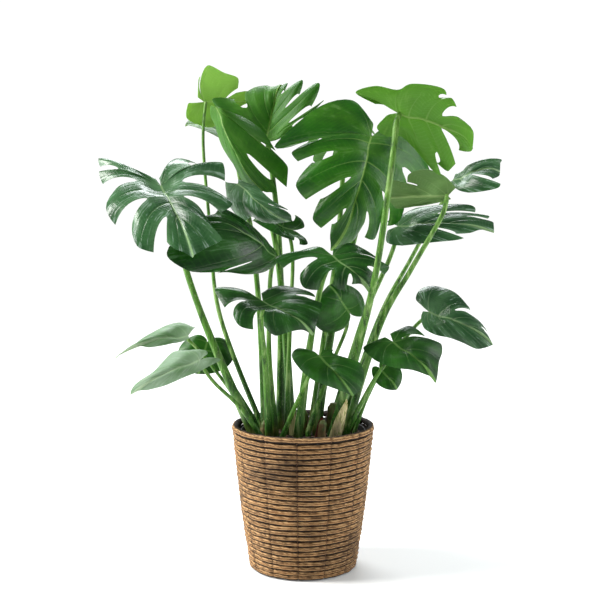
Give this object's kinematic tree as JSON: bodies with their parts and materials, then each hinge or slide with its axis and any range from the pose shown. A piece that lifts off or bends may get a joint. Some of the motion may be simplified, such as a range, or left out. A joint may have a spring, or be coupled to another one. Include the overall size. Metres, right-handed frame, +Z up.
{
  "type": "split-leaf monstera in a coiled basket",
  "caption": "House plant with large split and pierced leaves on long pale stalks, in a tapered basket coiled from banana bark.",
  "frame": {"origin": "middle of the basket's flat underside", "axes": "+Z up along the basket, -Y towards the viewer, +X to the viewer's right"},
  "size_m": [0.7993, 0.4908, 0.9929],
  "materials": {
    "banana_bark": "matte",
    "pot_plastic": "satin",
    "soil": "matte",
    "stem": "matte",
    "petiole": "satin",
    "leaf_dark": "gloss",
    "leaf_bright": "gloss",
    "leaf_lit": "satin",
    "leaf_pale": "satin"
  },
  "bodies": {
    "root": {"basket_wall": "banana_bark", "basket_base": "banana_bark", "nursery_pot": "pot_plastic", "soil": "soil", "crown_1": "stem", "crown_2": "stem", "crown_3": "stem", "crown_4": "stem", "petiole_01": "petiole", "petiole_02": "petiole", "petiole_03": "petiole", "petiole_04": "petiole", "petiole_05": "petiole", "petiole_06": "petiole", "petiole_07": "petiole", "petiole_08": "petiole", "petiole_09": "petiole", "petiole_10": "petiole", "petiole_11": "petiole", "petiole_12": "petiole", "petiole_13": "petiole", "petiole_14": "petiole", "petiole_15": "petiole", "petiole_16": "petiole", "petiole_17": "petiole", "petiole_18": "petiole", "petiole_19": "petiole", "petiole_20": "petiole", "petiole_21": "petiole", "petiole_22": "petiole", "petiole_23": "petiole", "petiole_24": "petiole", "blade_01": "leaf_lit", "blade_02": "leaf_dark", "blade_03": "leaf_dark", "blade_04": "leaf_bright", "blade_05": "leaf_dark", "blade_06": "leaf_dark", "blade_07": "leaf_dark", "blade_08": "leaf_dark", "blade_09": "leaf_dark", "blade_10": "leaf_bright", "blade_11": "leaf_lit", "blade_12": "leaf_pale", "blade_13": "leaf_dark", "blade_14": "leaf_dark", "blade_15": "leaf_dark", "blade_16": "leaf_dark", "blade_17": "leaf_dark", "blade_18": "leaf_dark", "blade_19": "leaf_dark", "blade_20": "leaf_pale", "blade_21": "leaf_pale", "blade_22": "leaf_dark", "blade_23": "leaf_bright", "blade_24": "leaf_dark"}
  },
  "joints": []
}
